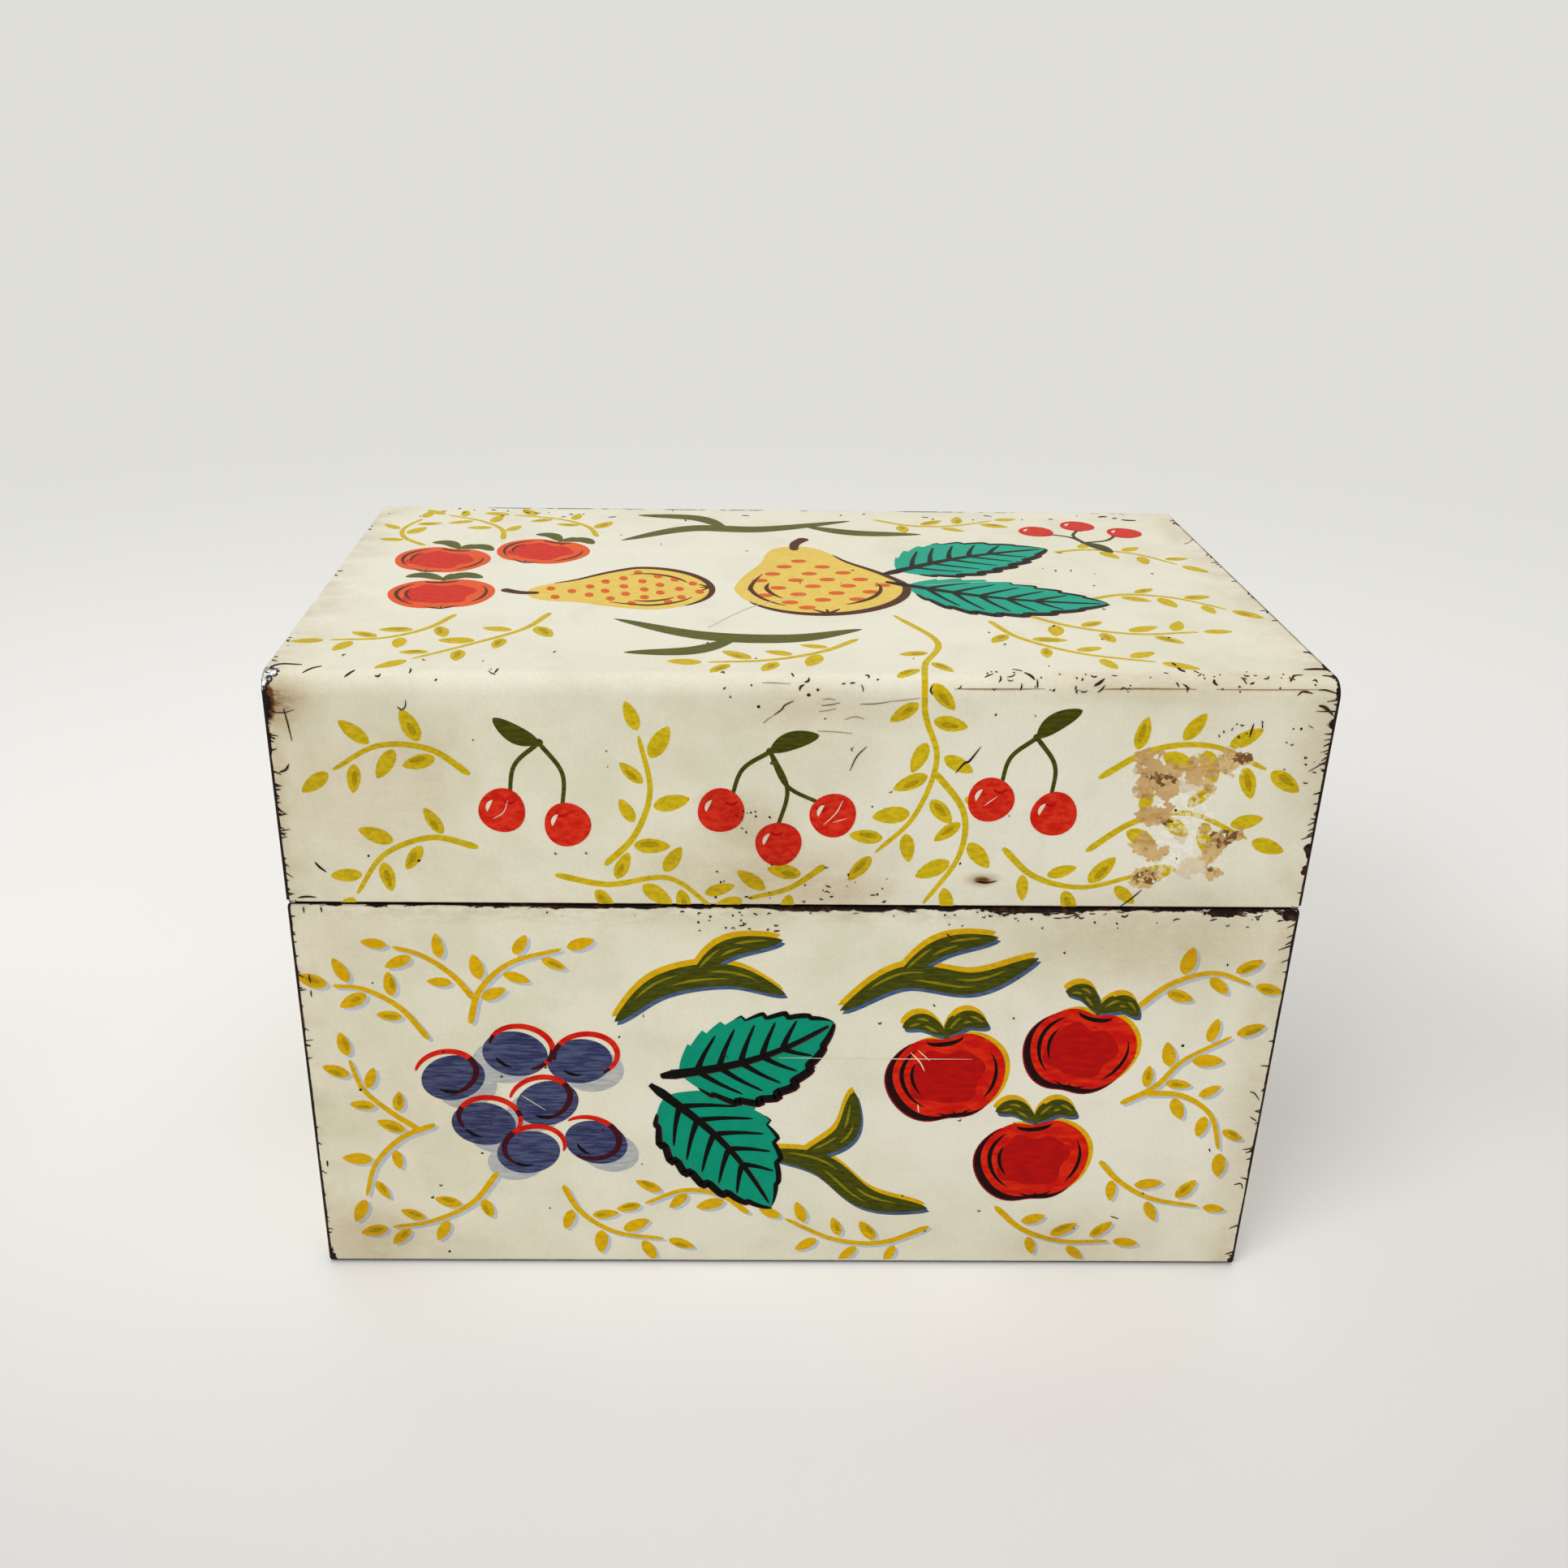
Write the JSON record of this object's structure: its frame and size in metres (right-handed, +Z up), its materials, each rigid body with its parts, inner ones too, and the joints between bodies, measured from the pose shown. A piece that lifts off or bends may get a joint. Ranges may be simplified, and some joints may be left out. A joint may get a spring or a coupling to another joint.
{
  "type": "recipe card box",
  "caption": "Hinged rectangular tinplate box for index-size recipe cards, with a flush lid that closes over a stepped neck and turns back on a rolled hinge along the rear.",
  "frame": {"origin": "middle of the underside of the base, on the surface that the box stands on", "axes": "+X to the right along the width, +Y to the back where the hinge is, +Z up"},
  "size_m": [0.136, 0.084, 0.094],
  "materials": {
    "base_coat": "aged semi-gloss cream printed tinplate, bare tin inside",
    "lid_coat": "aged semi-gloss cream printed tinplate, bare tin inside",
    "hinge_wire": "drawn steel wire, dulled"
  },
  "bodies": {
    "base": {"base_wrap": "base_coat", "base_left_end": "base_coat", "base_right_end": "base_coat", "hinge_pin": "hinge_wire"},
    "lid": {"lid_wrap": "lid_coat", "lid_left_end": "lid_coat", "lid_right_end": "lid_coat"}
  },
  "joints": [
    {"name": "lid_hinge", "type": "hinge", "parent": "base", "child": "lid", "pos_m": [0, 0.04075, 0.0614], "axis": [-1, 0, 0], "range_deg": [0, 105]}
  ]
}
